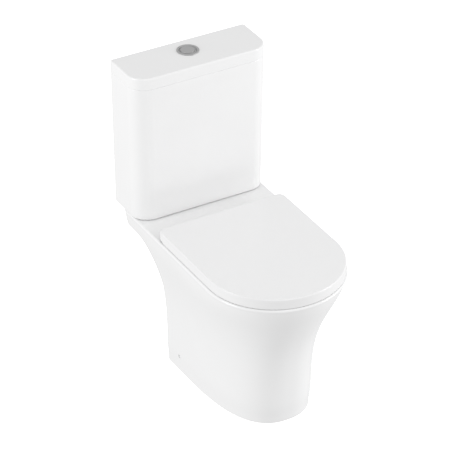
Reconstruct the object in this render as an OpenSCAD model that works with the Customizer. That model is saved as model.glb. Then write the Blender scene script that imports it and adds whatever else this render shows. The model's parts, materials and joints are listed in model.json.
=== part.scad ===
// Close coupled toilet: open-back pan, cistern, dual flush valve, bottom-entry fill valve and wrap-over seat.
// Millimetres. X runs across the pan, -Y points to the user, +Z is up.
// The origin is on the floor, in the middle of the object's footprint.

/* [Overall] */
// Depth from the wall to the front of the rim
total_depth = 662; // [640:1:680]
// Height from the floor to the top of the cistern lid
total_height = 816; // [800:1:830]

/* [Pan] */
// Height of the rim and of the shelf under the cistern
rim_height = 405; // [400:1:410]
// Width across the rim
rim_width = 370; // [362:1:378]
// Width across the foot
foot_width = 263; // [250:1:275]
// Distance from the wall to the front of the foot
foot_front = 560; // [545:1:575]
// Distance from the wall to the back of the foot
foot_back = 168; // [160:1:175]
// Thickness of the shelf at the wall
shelf_thickness = 47; // [42:1:50]
// Thickness of the ceramic walls
pan_wall = 11; // [10:1:13]
// Width of the bowl opening
bowl_width = 246; // [236:1:250]
// Outer diameter of the outlet spigot
spigot_diameter = 102; // [98:1:104]
// Height of the outlet centre above the floor
outlet_height = 180; // [175:1:190]

/* [Cistern] */
// Width of the cistern lid
cistern_width = 384; // [380:1:388]
// Depth of the cistern lid
cistern_depth = 137; // [135:1:139]
// Height of the cistern lid's skirt
lid_height = 32; // [30:1:36]
// Radius of the front corners
cistern_corner = 48; // [40:1:52]
// Thickness of the cistern walls
cistern_wall = 10; // [8:1:11]
// Distance from the wall to the middle of the flush valve and button
valve_back = 55; // [53:1:57]

/* [Seat] */
// Width of the seat lid
seat_width = 360; // [356:1:362]
// Height of the seat lid's skirt
seat_height = 28; // [27:1:29]
// Distance between the two seat fixing holes
hinge_spacing = 155; // [150:1:160]
// Distance from the wall to the hinge pin
hinge_back = 230; // [229:1:231]
// Thickness of the seat ring
ring_thickness = 16; // [14:1:17]

/* [Flush button] */
// Diameter of the button's rim
button_diameter = 57.6; // [56:0.2:60]
// Diameter of the inner button
small_button_diameter = 37.4; // [36:0.2:38]

/* [Hidden] */

$fn = 64;
ceramic = [0.95, 0.95, 0.94];
plastic = [0.97, 0.97, 0.96];
valve_white = [0.9, 0.91, 0.92];
valve_blue = [0.3, 0.5, 0.7];
chrome = [0.72, 0.72, 0.73];
steel = [0.6, 0.6, 0.62];
rubber = [0.15, 0.15, 0.15];
clear_rubber = [0.85, 0.86, 0.86];

eps = 0.5;                    // how far a cutter runs past a face
run_fit = 0.05;               // radial clearance of a pin in its bore
arc_steps = 5;                // segments in one back corner
nose_steps = 20;              // segments round the front

// A place at the distance d forward of the wall
function wall_y(d) = total_depth / 2 - d;
function clamp01(v) = min(max(v, 0), 1);
function mix(a, b, t) = a + (b - a) * t;
function signed_pow(v, p) = sign(v) * pow(abs(v), p);
oval = [2, 2];                // powers of a plain ellipse

// Closed outline at height z: half width hw, from back to front (distances forward of the wall),
// back corners of radii cx and cy, and a front that is a superellipse which starts at nose and has
// one power along the pan and one across it.
function outline(hw, back, front, nose, cx, cy, powers, z) = concat(
    [for (i = [0:arc_steps]) let (a = 90 * i / arc_steps)
        [hw - cx + cx * cos(a), wall_y(back + cy - cy * sin(a)), z]],
    [for (i = [0:arc_steps]) let (a = 90 + 90 * i / arc_steps)
        [-hw + cx + cx * cos(a), wall_y(back + cy - cy * sin(a)), z]],
    [for (i = [0:nose_steps]) let (a = 180 + 180 * i / nose_steps)
        [hw * signed_pow(cos(a), 2 / powers[1]),
            wall_y(nose + (front - nose) * pow(abs(sin(a)), 2 / powers[0])), z]]);

// Solid through a list of outlines with the same number of points, closed flat at both ends.
// The outlines go down the outside and up the inside, or simply downwards.
module skin(rings) {
    n = len(rings[0]);
    last = len(rings) - 1;
    points = [for (r = rings) for (p = r) p];
    sides = [for (k = [0:last - 1]) for (i = [0:n - 1]) let (j = (i + 1) % n)
        each [[k * n + i, k * n + j, (k + 1) * n + j], [k * n + i, (k + 1) * n + j, (k + 1) * n + i]]];
    polyhedron(points, concat([[for (i = [n - 1:-1:0]) i]], sides, [[for (i = [0:n - 1]) last * n + i]]));
}

// Round tube that follows a list of points, for coil springs
module coil(radius, wire, low, high, turns, sides = 6, steps = 14) {
    count = turns * steps;
    pitch = (high - low - 2 * wire) / turns;
    points = [for (k = [0:count]) let (a = 360 * k / steps, z = low + wire + pitch * k / steps)
        for (i = [0:sides - 1]) let (b = 360 * i / sides)
            [(radius + wire * cos(b)) * cos(a), (radius + wire * cos(b)) * sin(a), z + wire * sin(b)]];
    faces = [for (k = [0:count - 1]) for (i = [0:sides - 1]) let (j = (i + 1) % sides)
        each [[k * sides + i, (k + 1) * sides + j, k * sides + j],
              [k * sides + i, (k + 1) * sides + i, (k + 1) * sides + j]]];
    polyhedron(points, concat([[for (i = [0:sides - 1]) i]], faces,
        [[for (i = [sides - 1:-1:0]) count * sides + i]]));
}

module at(x, d, z) { translate([x, wall_y(d), z]) children(); }
module tube(outer, inner, h) {
    difference() {
        cylinder(h = h, r = outer);
        translate([0, 0, -eps]) cylinder(h = h + 2 * eps, r = inner);
    }
}
module both_sides(x) { for (s = [-1, 1]) translate([s * x, 0, 0]) children(); }
module along_x(length) { rotate([0, 90, 0]) translate([0, 0, -length / 2]) children(); }
module hex_nut(across, bore, h) {
    difference() {
        cylinder(h = h, r = across / sqrt(3), $fn = 6);
        translate([0, 0, -eps]) cylinder(h = h + 2 * eps, r = bore, $fn = 48);
    }
}

// ---- heights and places that several pieces share ----
cistern_bottom = rim_height + 3;
cistern_top = total_height - lid_height;
cistern_floor_top = cistern_bottom + 37;
recess_top = cistern_bottom + 24;
shelf_bottom = rim_height - shelf_thickness;
bolt_x = 75;                  // coupling bolts, from the middle
bolt_r = 4;
bolt_head = 5;                // height of a coupling bolt's head
seal_h = 3;                   // thickness of the rubber seals
inlet_x = 140;                // fill valve, from the middle
inlet_back = 68;
thread_r = 10.48;             // G 1/2 thread, outer radius
tail_r = 29.8;                // 2 inch flush valve tail
horn_r = 33;                  // flush inlet in the shelf
cap_z = 640;                  // underside of the flush valve's cap
riser_r = 14;

// ---- pan ----
edge = 4;                     // rounding of the rim's edges
foot_lean = 0.049;            // share of the flare in the lowest part of the foot
wall_creep = 0.0586;          // share of the flare that grows evenly with height
rim_hw = rim_width / 2;
foot_hw = foot_width / 2;
rim_front = total_depth;
rim_nose = 480;
foot_nose = 188;
// How far the pan has opened out at height z, from 0 at the floor to 1 at the rim
function flare(z) =
    let (s = clamp01((z - 12) / (rim_height + 8)))
    (foot_lean * clamp01(z / 60) + wall_creep * z / rim_height
        + (1 - foot_lean - wall_creep) * pow(sin(90 * pow(s, 1.92)), 2)) / 0.982;
function pan_hw(z) = mix(foot_hw, rim_hw, flare(z));
function pan_front(z) = mix(foot_front, rim_front, flare(z));
function pan_nose(z) = mix(foot_nose, rim_nose, flare(z));
// Powers of the front's superellipse, along and across the pan
function pan_power(z) = [mix(3.6, 2, flare(z)), mix(2.44, 2, flare(z))];

// Height and back of the pan from the wall down to the back of its foot: a superellipse quarter
sweep_low = 233;
sweep_start = 40;
function sweep_z(a) = sweep_low + (shelf_bottom - sweep_low) * pow(sin(a), 1.72);
function sweep_back(a) = sweep_start + (foot_back - sweep_start) * pow(cos(a), 0.473);
back_corner = 14;
function pan_ring(z, back, inset) = outline(pan_hw(z) - inset, back + inset, pan_front(z) - inset,
    pan_nose(z), back_corner, back_corner, pan_power(z), z);

// Bowl: half width, back and front from the rim (u = 0) to the bottom of the sump (u = 1)
bowl_back = 290;
bowl_front = 616;
bowl_top = 366;
sump_bottom = 118;
sump_hw = 46;
sump_back = 352;
sump_front = 452;
function bowl_ring(u, grow) =
    let (c = pow(cos(90 * u), 0.85), z = mix(bowl_top, sump_bottom, pow(u, 1.1)) - grow * pow(u, 3),
         hw = mix(sump_hw, bowl_width / 2, c) + grow,
         back = mix(sump_back, bowl_back, c) - grow,
         front = mix(sump_front, bowl_front, c) + grow,
         middle = mix(back, front, 0.45))
    outline(hw, back, front, middle, hw, middle - back, oval, z);
function bowl_neck(z, grow) =
    let (hw = bowl_width / 2 + grow, back = bowl_back - grow, front = bowl_front + grow,
         middle = mix(back, front, 0.45))
    outline(hw, back, front, middle, hw, middle - back, oval, z);
bowl_steps = 9;
ceiling = rim_height - 22;    // underside of the rim, inside the pan

// Outlet: a spigot at the back, and a pipe from it to the sump
outlet_bore = 42;
pipe_r = 48;
spigot_start = 28;            // how far the spigot's end is from the wall
spigot_length = 70;
pipe_end = 356;
side_hole_back = 240;
side_hole_z = 47;
side_hole_r = 5;
hinge_bolt_back = hinge_back + 13;
hinge_hole_r = 6;

back_opening_hw = foot_hw - 32;
back_opening_top = 300;

// The pan without its bowl: rim, shelf, outside, foot, inside, and the underside of the bowl
module pan_body() {
    skin(concat(
        [pan_ring(rim_height, 0, edge)],
        [for (k = [0:5]) pan_ring(mix(rim_height - edge, shelf_bottom + 2, k / 5), 0, 0)],
        [for (a = [90:-9:0]) pan_ring(sweep_z(a), sweep_back(a), 0)],
        [for (k = [1:6]) pan_ring(mix(sweep_low, 0, k / 6), foot_back, 0)],
        [for (k = [0:10]) pan_ring(mix(0, ceiling, k / 10), foot_back, pan_wall)],
        [bowl_neck(ceiling, pan_wall)],
        [for (k = [0:bowl_steps]) bowl_ring(k / bowl_steps * 0.96, pan_wall)]));
}
module bowl_cavity() {
    skin(concat([bowl_neck(rim_height + edge, 2 * edge), bowl_neck(rim_height - edge, 0)],
        [for (k = [0:bowl_steps]) bowl_ring(k / bowl_steps * 0.96, 0)]));
}

module pan() {
    color(ceramic) difference() {
        union() {
            difference() {
                pan_body();
                at(-back_opening_hw, foot_back + pan_wall + 2, -eps)
                    cube([2 * back_opening_hw, foot_back, back_opening_top]);
            }
            at(0, spigot_start, outlet_height) rotate([90, 0, 0])
                cylinder(h = spigot_length, r = spigot_diameter / 2);
            at(0, spigot_start + spigot_length - 1, outlet_height) rotate([90, 0, 0])
                cylinder(h = pipe_end - spigot_start - spigot_length, r = pipe_r);
        }
        bowl_cavity();
        at(0, spigot_start - eps, outlet_height) rotate([90, 0, 0])
            cylinder(h = pipe_end - spigot_start + 10, r = outlet_bore);
        // flush inlet and the channel to the bowl
        at(0, valve_back, rim_height - 32) cylinder(h = 40, r = horn_r);
        at(0, valve_back, rim_height - 22) rotate([90, 0, 0]) cylinder(h = bowl_back - valve_back + 10, r = 9);
        // coupling bolts, water inlet, seat and floor fixings
        both_sides(bolt_x) at(0, valve_back, shelf_bottom - 20) cylinder(h = 80, r = bolt_r + 2);
        at(inlet_x, inlet_back, shelf_bottom - 20) cylinder(h = 80, r = 24);
        both_sides(hinge_spacing / 2) at(0, hinge_bolt_back, ceiling - 10) cylinder(h = 40, r = hinge_hole_r);
        both_sides(foot_hw) at(0, side_hole_back, side_hole_z) along_x(50) cylinder(h = 50, r = side_hole_r);
    }
}

// ---- cistern ----
taper = 5.5;                  // how much narrower the cistern's bottom is, each side
cistern_back_corner = 8;
recess_back = 8;              // thickness of the back wall below the cistern's floor
wall_hole_x = 120;            // wall fixing holes in the cistern's back, from the middle
wall_hole_z = 700;
function cistern_ring(z, inset, back) =
    let (t = clamp01((z - cistern_bottom) / (cistern_top - cistern_bottom)),
         hw = cistern_width / 2 - taper * (1 - t) - inset,
         front = cistern_depth - 2 * (1 - t) - inset,
         r = max(cistern_corner - inset, 4))
    corner_box(hw, back, front, r, max(cistern_back_corner - inset, 3), z);
// Rectangle with round front corners of radius r and back corners of radius rb
function corner_box(hw, back, front, r, rb, z) = concat(
    [for (i = [0:arc_steps]) let (a = 90 * i / arc_steps)
        [hw - rb + rb * cos(a), wall_y(back + rb - rb * sin(a)), z]],
    [for (i = [0:arc_steps]) let (a = 90 + 90 * i / arc_steps)
        [-hw + rb + rb * cos(a), wall_y(back + rb - rb * sin(a)), z]],
    [for (i = [0:nose_steps / 2]) let (a = 180 + 180 * i / nose_steps)
        [-hw + r + r * cos(a), wall_y(front - r - r * sin(a)), z]],
    [for (i = [nose_steps / 2:nose_steps]) let (a = 180 + 180 * i / nose_steps)
        [hw - r + r * cos(a), wall_y(front - r - r * sin(a)), z]]);

module cistern() {
    color(ceramic) difference() {
        skin([cistern_ring(cistern_floor_top, cistern_wall, cistern_wall),
            cistern_ring(cistern_top, cistern_wall, cistern_wall),
            cistern_ring(cistern_top, 0, 0), cistern_ring(cistern_bottom + 3, 0, 0),
            cistern_ring(cistern_bottom, 3, 3), cistern_ring(cistern_bottom, 20, recess_back),
            cistern_ring(recess_top, 22, recess_back + 1)]);
        at(0, valve_back, recess_top - eps) cylinder(h = 30, r = tail_r + 1.5);
        both_sides(bolt_x) at(0, valve_back, recess_top - eps) cylinder(h = 30, r = bolt_r + 1);
        at(inlet_x, inlet_back, recess_top - eps) cylinder(h = 30, r = thread_r + 1);
        both_sides(wall_hole_x) at(0, cistern_wall + 4, wall_hole_z) rotate([-90, 0, 0])
            cylinder(h = 20, r = 3.5);
    }
}
module cistern_pads() {
    color(rubber) for (x = [-1, 1]) for (d = [25, 85])
        at(x * 174, d, rim_height) cylinder(h = cistern_bottom - rim_height, r = 6);
}

// ---- joint between cistern and pan ----
backnut_low = recess_top - 2.5 - 10;
module doughnut_washer() {
    color(rubber) at(0, valve_back, rim_height) tube(46, tail_r + 0.2, backnut_low - rim_height);
}
module coupling_plate() {
    color(steel) difference() {
        at(-92, valve_back + 33, recess_top - 2.5) cube([184, 70, 2.5]);
        at(0, valve_back, recess_top - 5) cylinder(h = 10, r = tail_r + 0.2);
        both_sides(bolt_x) at(0, valve_back, recess_top - 5) cylinder(h = 10, r = bolt_r + 1);
    }
}
module flush_valve_backnut() {
    color(valve_white) at(0, valve_back, backnut_low) hex_nut(78, tail_r + 0.1, 10);
}
bolt_tip = shelf_bottom - 32;
module coupling_bolts() {
    color(steel) both_sides(bolt_x) {
        at(0, valve_back, bolt_tip) cylinder(h = cistern_floor_top + seal_h - bolt_tip, r = bolt_r);
        at(0, valve_back, cistern_floor_top + seal_h) cylinder(h = bolt_head, r = 9);
    }
}
module coupling_bolt_seals() {
    color(rubber) both_sides(bolt_x) at(0, valve_back, cistern_floor_top) tube(12, bolt_r + run_fit, seal_h);
}
module coupling_washers() {
    color(steel) both_sides(bolt_x) at(0, valve_back, shelf_bottom - 4.5) tube(12, bolt_r + run_fit, 2.5);
}
module coupling_wing_nuts() {
    wing = 16;
    color(steel) both_sides(bolt_x) at(0, valve_back, shelf_bottom - 14.5) difference() {
        union() {
            cylinder(h = 10, r = 8);
            translate([-wing, -2, 1]) cube([2 * wing, 4, 8]);
        }
        translate([0, 0, -eps]) cylinder(h = 11, r = bolt_r + run_fit);
    }
}

// ---- flush valve ----
base_low = cistern_floor_top + seal_h;
cage_low = base_low + 5;
seat_z = base_low + 6;        // face that the flush seal closes on
tail_bottom = rim_height - 8;
module flush_valve_base() {
    color(valve_white) at(0, valve_back, 0) difference() {
        union() {
            translate([0, 0, tail_bottom]) cylinder(h = base_low - tail_bottom, r = tail_r);
            translate([0, 0, base_low]) cylinder(h = 5, r = 40);
            translate([0, 0, base_low]) cylinder(h = 6, r = 29);
        }
        translate([0, 0, tail_bottom - eps]) cylinder(h = 80, r = 25);
    }
}
module flush_valve_base_seal() {
    color(rubber) at(0, valve_back, cistern_floor_top) tube(39, tail_r + 0.1, seal_h);
}
module flush_valve_cage() {
    windows = 4;
    color(valve_white) at(0, valve_back, cage_low) difference() {
        tube(38, 34.5, cap_z - cage_low);
        for (k = [0:windows - 1]) rotate([0, 0, 45 + 360 * k / windows]) translate([20, -13, 0]) {
            translate([0, 0, 4]) cube([30, 26, 55]);
            translate([0, 0, 75]) cube([30, 26, 80]);
        }
    }
}
lever_pivot_d = valve_back + 9;
lever_z = cap_z + 18;
lever_hw = 19.5;              // middle of the lever's side bars
bracket_hw = 26;
module flush_valve_cap() {
    color(valve_blue) difference() {
        union() {
            at(0, valve_back, cap_z) cylinder(h = 5, r = 40);
            both_sides(bracket_hw) at(-1.5, lever_pivot_d + 4, cap_z + 4) cube([3, 8, lever_z - cap_z + 1]);
        }
        at(0, valve_back, cap_z - eps) cylinder(h = 8, r = riser_r + 0.3);
        at(0, lever_pivot_d, lever_z) along_x(80) cylinder(h = 80, r = 2 + run_fit);
    }
}
riser_low = seat_z + 4;
riser_top = 735;
collar_z = lever_z + 4.5;
module overflow_tube() {
    color(valve_white) at(0, valve_back, 0) difference() {
        union() {
            translate([0, 0, riser_low]) cylinder(h = riser_top - riser_low, r = riser_r);
            translate([0, 0, riser_low]) cylinder(h = 4, r = 26);
            translate([0, 0, collar_z]) cylinder(h = 4, r = 24);
        }
        // notch that the full flush rod runs through
        translate([-6, -riser_r - 14, collar_z - eps]) cube([12, 12, 5]);
        translate([0, 0, riser_low - eps]) cylinder(h = riser_top, r = riser_r - 2);
    }
}
module flush_seal() {
    color(clear_rubber) at(0, valve_back, seat_z + 0.1) tube(31, riser_r - 2, riser_low - seat_z - 0.1);
}
full_rod_d = valve_back + 19.6;
// Rocking lever: the rod pushes its front bar down, and the ends of its side bars lift the collar
module flush_lever() {
    bar = 4;
    front = full_rod_d + 3.1;
    back = valve_back - 12;
    color(valve_blue) difference() {
        union() {
            both_sides(lever_hw) at(-bar / 2, front, lever_z - bar / 2) cube([bar, front - back, bar]);
            both_sides(lever_hw) at(0, lever_pivot_d, lever_z) along_x(bar) cylinder(h = bar, r = 4);
            at(-lever_hw, front, lever_z - bar / 2) cube([2 * lever_hw, 6.2, bar]);
            both_sides(lever_hw) at(-bar / 2, back + 3, lever_z) cube([bar, 3, 4.2]);
        }
        at(0, lever_pivot_d, lever_z) along_x(80) cylinder(h = 80, r = 2 + run_fit);
    }
}
module flush_lever_pin() {
    length = 13;
    color(steel) both_sides(lever_hw + length / 2 - 2.5) at(0, lever_pivot_d, lever_z)
        along_x(length) cylinder(h = length, r = 2);
}

// ---- fill valve ----
stem_r = 11;
stem_top = 690;
shank_bottom = shelf_bottom - 22;
module at_inlet(z) { at(inlet_x, inlet_back, z) children(); }
module fill_valve_stem() {
    color(valve_white) at_inlet(0) difference() {
        union() {
            translate([0, 0, shank_bottom]) cylinder(h = 22, r = thread_r);
            translate([0, 0, shank_bottom + 22]) cylinder(h = base_low - shank_bottom - 22, r = thread_r - 0.2);
            translate([0, 0, base_low]) cylinder(h = 5, r = 19);
            translate([0, 0, base_low + 5]) cylinder(h = stem_top - base_low - 5, r = stem_r);
        }
        translate([0, 0, shank_bottom - eps]) cylinder(h = stem_top, r = 6);
    }
}
module fill_valve_seal() {
    color(rubber) at_inlet(cistern_floor_top) tube(18, thread_r + run_fit, seal_h);
}
module fill_valve_backnut() {
    color(valve_white) at_inlet(recess_top - 10) hex_nut(32, thread_r + run_fit, 10);
}
fill_pivot_x = 17;            // from the stem's middle
fill_lever_z = stem_top + 44;
module fill_valve_head() {
    color(valve_white) at_inlet(0) difference() {
        union() {
            translate([0, 0, stem_top]) cylinder(h = 26, r = 17);
            translate([-6, 0, stem_top]) cube([12, 26, 18]);
            for (y = [-8.5, 5.5]) translate([fill_pivot_x - 5, y, stem_top + 10]) cube([9, 3, 38]);
        }
        translate([0, 0, stem_top - eps]) cylinder(h = 16, r = 6);
        translate([fill_pivot_x, 15, fill_lever_z]) rotate([90, 0, 0]) cylinder(h = 30, r = 1.5 + run_fit);
    }
}
module fill_valve_cap() {
    color(valve_blue) at_inlet(stem_top + 26) cylinder(h = 6, r = 10);
}
module fill_valve_outlet() {
    color(valve_white) at_inlet(478) translate([0, 20, 0]) tube(4, 2.8, stem_top - 478);
}
float_low = 618;
float_high = 668;
float_rod_x = -22;
module fill_valve_float() {
    color(valve_blue) at_inlet(0) difference() {
        translate([0, 0, float_low]) cylinder(h = float_high - float_low, r = 26);
        translate([0, 0, float_low - eps]) cylinder(h = 80, r = stem_r + 0.5);
        translate([0, 20, float_low - eps]) cylinder(h = 80, r = 5);
    }
}
module float_rod() {
    color(steel) at_inlet(float_high) translate([float_rod_x, 0, 0])
        cylinder(h = fill_lever_z - 2.6 - float_high, r = 1.6);
}
module fill_valve_lever() {
    color(valve_white) at_inlet(fill_lever_z) difference() {
        union() {
            translate([fill_pivot_x, 4, 0]) rotate([90, 0, 0]) cylinder(h = 8, r = 4);
            translate([float_rod_x - 4, -3.5, -2]) cube([fill_pivot_x - float_rod_x + 4, 7, 4]);
        }
        translate([fill_pivot_x, 15, 0]) rotate([90, 0, 0]) cylinder(h = 30, r = 1.5 + run_fit);
    }
}
module fill_valve_lever_pin() {
    color(steel) at_inlet(fill_lever_z) translate([fill_pivot_x, 9, 0]) rotate([90, 0, 0])
        cylinder(h = 18, r = 1.5);
}

// ---- cistern lid and flush buttons ----
lid_plate = 10;
lid_lip = 8;
lid_hole_r = 24.6;
function lid_ring(z, inset) = corner_box(cistern_width / 2 - inset, inset, cistern_depth - inset,
    max(cistern_corner - inset, 4), max(cistern_back_corner - inset, 3), z);
lid_edge = 4.5;
module cistern_lid() {
    inner = total_height - lid_plate;
    color(ceramic) difference() {
        skin([lid_ring(total_height, lid_edge),
            lid_ring(total_height - 0.3 * lid_edge, 0.3 * lid_edge), lid_ring(total_height - lid_edge, 0),
            lid_ring(cistern_top + 1, 0), lid_ring(cistern_top + 0.4, cistern_wall + 2),
            lid_ring(cistern_top - lid_lip, cistern_wall + 2),
            lid_ring(cistern_top - lid_lip, cistern_wall + 8),
            lid_ring(inner, cistern_wall + 10)]);
        at(0, valve_back, inner - eps) cylinder(h = lid_plate + 2, r = lid_hole_r);
    }
}
rim_r = button_diameter / 2;
collar_r = 24;
cup_r = 22.6;
collar_low = total_height - 40;
module button_rim() {
    color(chrome) at(0, valve_back, 0) difference() {
        union() {
            translate([0, 0, total_height]) cylinder(h = 1, r = rim_r);
            translate([0, 0, total_height + 1]) cylinder(h = 1.2, r1 = rim_r, r2 = rim_r - 2);
            translate([0, 0, collar_low]) cylinder(h = total_height - collar_low + 0.5, r = collar_r);
        }
        translate([0, 0, collar_low + 2]) cylinder(h = 60, r = cup_r);
        translate([0, -19.6, collar_low - eps]) cylinder(h = 10, r = 1.9);
        translate([0, 0, collar_low - eps]) cylinder(h = 10, r = 2.4);
    }
}
module button_nut() {
    color(valve_white) at(0, valve_back, total_height - lid_plate - 9) tube(33, collar_r + run_fit, 8.5);
}
button_top = total_height + 1.5;
full_button_r = 22.2;
small_r = small_button_diameter / 2;
small_offset = 2;             // the inner button sits this far towards the wall
module full_flush_button() {
    color(chrome) at(0, valve_back, button_top - 7) difference() {
        cylinder(h = 7, r = full_button_r);
        translate([0, small_offset, -eps]) cylinder(h = 10, r = small_r + 0.35);
    }
}
spring_low = collar_low + 2;
full_rod_bottom = lever_z + 3.2;
module full_flush_rod() {
    color(valve_white) at(0, full_rod_d, full_rod_bottom)
        cylinder(h = button_top - 7 - full_rod_bottom, r = 1.8);
}
module half_flush_button() {
    color(chrome) at(0, valve_back - small_offset, button_top - 7) cylinder(h = 7, r = small_r);
}
half_rod_bottom = riser_top + 8;
module half_flush_rod() {
    color(valve_white) at(0, valve_back, half_rod_bottom)
        cylinder(h = button_top - 7 - half_rod_bottom, r = 2.3);
}
module full_flush_spring() {
    color(steel) at(0, valve_back, 0) coil(15.5, 0.5, spring_low, button_top - 7.5, 5);
}
module half_flush_spring() {
    color(steel) at(0, valve_back, 0) coil(5, 0.5, spring_low, button_top - 7.5, 6);
}

// ---- seat ----
seat_hw = seat_width / 2;
seat_back = 217;
seat_front = total_depth - 4.5;
seat_nose = rim_nose;
seat_bottom = rim_height + 2;
seat_top = seat_bottom + seat_height;
hinge_z = rim_height + 16;
seat_skin = 4;
seat_corner = 18;
function seat_ring_outline(z, inset, back) = outline(seat_hw - inset, back, seat_front - inset, seat_nose,
    max(seat_corner - inset, 5), max(seat_corner - inset, 5), oval, z);
ring_back = hinge_back + 22;  // back edge of the seat ring
hinge_eye = 6;                // half length of a base's eye along the pin
ring_low = rim_height + 4;
module hinge_lug(x, length, r) {
    at(x, hinge_back, hinge_z) along_x(length) cylinder(h = length, r = r);
}
module hinge_bores() {
    both_sides(hinge_spacing / 2) at(0, hinge_back, hinge_z) along_x(60) cylinder(h = 60, r = 4 + run_fit);
}
lug_length = 12;
lug_offset = hinge_eye + 0.6 + lug_length / 2;
module seat_ring() {
    top = ring_low + ring_thickness;
    color(plastic) difference() {
        union() {
            difference() {
                skin([seat_ring_outline(top, 7.5, ring_back), seat_ring_outline(ring_low, 7.5, ring_back)]);
                skin([outline(108, 300, 596, 440, 108, 140, oval, top + eps),
                    outline(104, 304, 592, 440, 104, 136, oval, ring_low - eps)]);
            }
            for (s = [-1, 1]) {
                x = s * (hinge_spacing / 2 - lug_offset);
                hinge_lug(x, lug_length, 8.5);
                at(x - lug_length / 2, ring_back + 4, ring_low + 3)
                    cube([lug_length, ring_back + 4 - hinge_back, 10]);
            }
        }
        hinge_bores();
    }
}
buffer_h = ring_low - rim_height - 0.1;
module ring_buffers() {
    color(clear_rubber) for (x = [-1, 1]) for (p = [[140, 300], [118, 565]])
        at(x * p[0], p[1], rim_height + 0.1) cylinder(h = buffer_h, r = 7);
}
module seat_lid() {
    inner = seat_top - seat_skin;
    notch_hw = 25;
    color(plastic) difference() {
        union() {
            difference() {
                skin([seat_ring_outline(seat_top, 1.5, seat_back + 1.5),
                    seat_ring_outline(seat_top - 1.5, 0, seat_back),
                    seat_ring_outline(seat_bottom, 0, seat_back)]);
                skin([seat_ring_outline(inner, seat_skin, seat_back + seat_skin),
                    seat_ring_outline(seat_bottom - eps, seat_skin, seat_back + seat_skin)]);
                // the back skirt stops short of the shelf
                at(-seat_hw - 1, hinge_back + 5, 0) cube([2 * seat_hw + 2, 30, hinge_z - 8]);
                for (s = [-1, 1]) at(s * hinge_spacing / 2 - notch_hw, hinge_back, 0)
                    cube([2 * notch_hw, 20, inner]);
            }
            for (s = [-1, 1]) {
                x = s * (hinge_spacing / 2 + lug_offset);
                hinge_lug(x, lug_length, 8.5);
                at(x - lug_length / 2, hinge_back + 8, hinge_z) cube([lug_length, 16, inner - hinge_z + 0.5]);
            }
        }
        hinge_bores();
    }
}
module lid_buffers() {
    low = ring_low + ring_thickness + 0.1;
    color(clear_rubber) for (x = [-1, 1]) for (p = [[140, 330], [118, 565]])
        at(x * p[0], p[1], low) cylinder(h = seat_top - seat_skin - low, r = 6);
}

// ---- seat hinges ----
module hinge_bases() {
    color(chrome) difference() {
        both_sides(hinge_spacing / 2) {
            at(0, hinge_bolt_back, rim_height) cylinder(h = 3.6, r = 16);
            at(-hinge_eye, hinge_bolt_back + 4, rim_height + 2) cube([2 * hinge_eye, 12, hinge_z - rim_height]);
            at(0, hinge_back, hinge_z) along_x(2 * hinge_eye) cylinder(h = 2 * hinge_eye, r = 7.5);
        }
        hinge_bores();
        both_sides(hinge_spacing / 2) at(0, hinge_bolt_back, rim_height - eps) cylinder(h = 12, r = 3);
    }
}
module hinge_pins() {
    length = 2 * (hinge_eye + 0.6 + lug_length);
    color(steel) both_sides(hinge_spacing / 2) at(0, hinge_back, hinge_z) along_x(length)
        cylinder(h = length, r = 4);
}
hinge_bolt_low = ceiling - 26;
module hinge_bolts() {
    color(steel) both_sides(hinge_spacing / 2) at(0, hinge_bolt_back, hinge_bolt_low)
        cylinder(h = rim_height + 11 - hinge_bolt_low, r = 2.95);
}
module hinge_washers() {
    color(rubber) both_sides(hinge_spacing / 2) at(0, hinge_bolt_back, ceiling - 3.5) tube(11, 3, 3);
}
module hinge_nuts() {
    color(valve_white) both_sides(hinge_spacing / 2) at(0, hinge_bolt_back, ceiling - 13.5) hex_nut(18, 3, 10);
}

// ---- floor fixing ----
side_inner = foot_hw - pan_wall;
bracket_x = side_inner - 4;   // outer face of the brackets
module floor_brackets() {
    wide = 30;
    color(valve_white) for (s = [-1, 1]) difference() {
        union() {
            at(s * (bracket_x - 2.5) - 2.5, side_hole_back + wide / 2, 0) cube([5, wide, 65]);
            at(s * (bracket_x - 22) - 22, side_hole_back + wide / 2, 0) cube([44, wide, 5]);
        }
        at(s * bracket_x, side_hole_back, side_hole_z) along_x(20) cylinder(h = 20, r = 2.5);
        at(s * (bracket_x - 28), side_hole_back, -eps) cylinder(h = 8, r = 3.2);
    }
}
module floor_screws() {
    color(steel) for (s = [-1, 1]) at(s * (bracket_x - 28), side_hole_back, 0) {
        cylinder(h = 6, r = 3);
        translate([0, 0, 5]) cylinder(h = 3.5, r1 = 6, r2 = 5);
    }
}
side_face = pan_hw(side_hole_z);
screw_head_x = side_face - 7;
module side_screws() {
    length = 22;
    color(steel) for (s = [-1, 1]) at(s * (screw_head_x - length / 2), side_hole_back, side_hole_z) {
        along_x(length) cylinder(h = length, r = 2.45);
        translate([s * (length / 2 - 1.5), 0, 0]) along_x(3) cylinder(h = 3, r = 4.6);
    }
}
module side_caps() {
    color(plastic) for (s = [-1, 1]) at(s * (side_face - 3.2), side_hole_back, side_hole_z) along_x(7)
        cylinder(h = 7, r = side_hole_r - 0.05);
}

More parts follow.
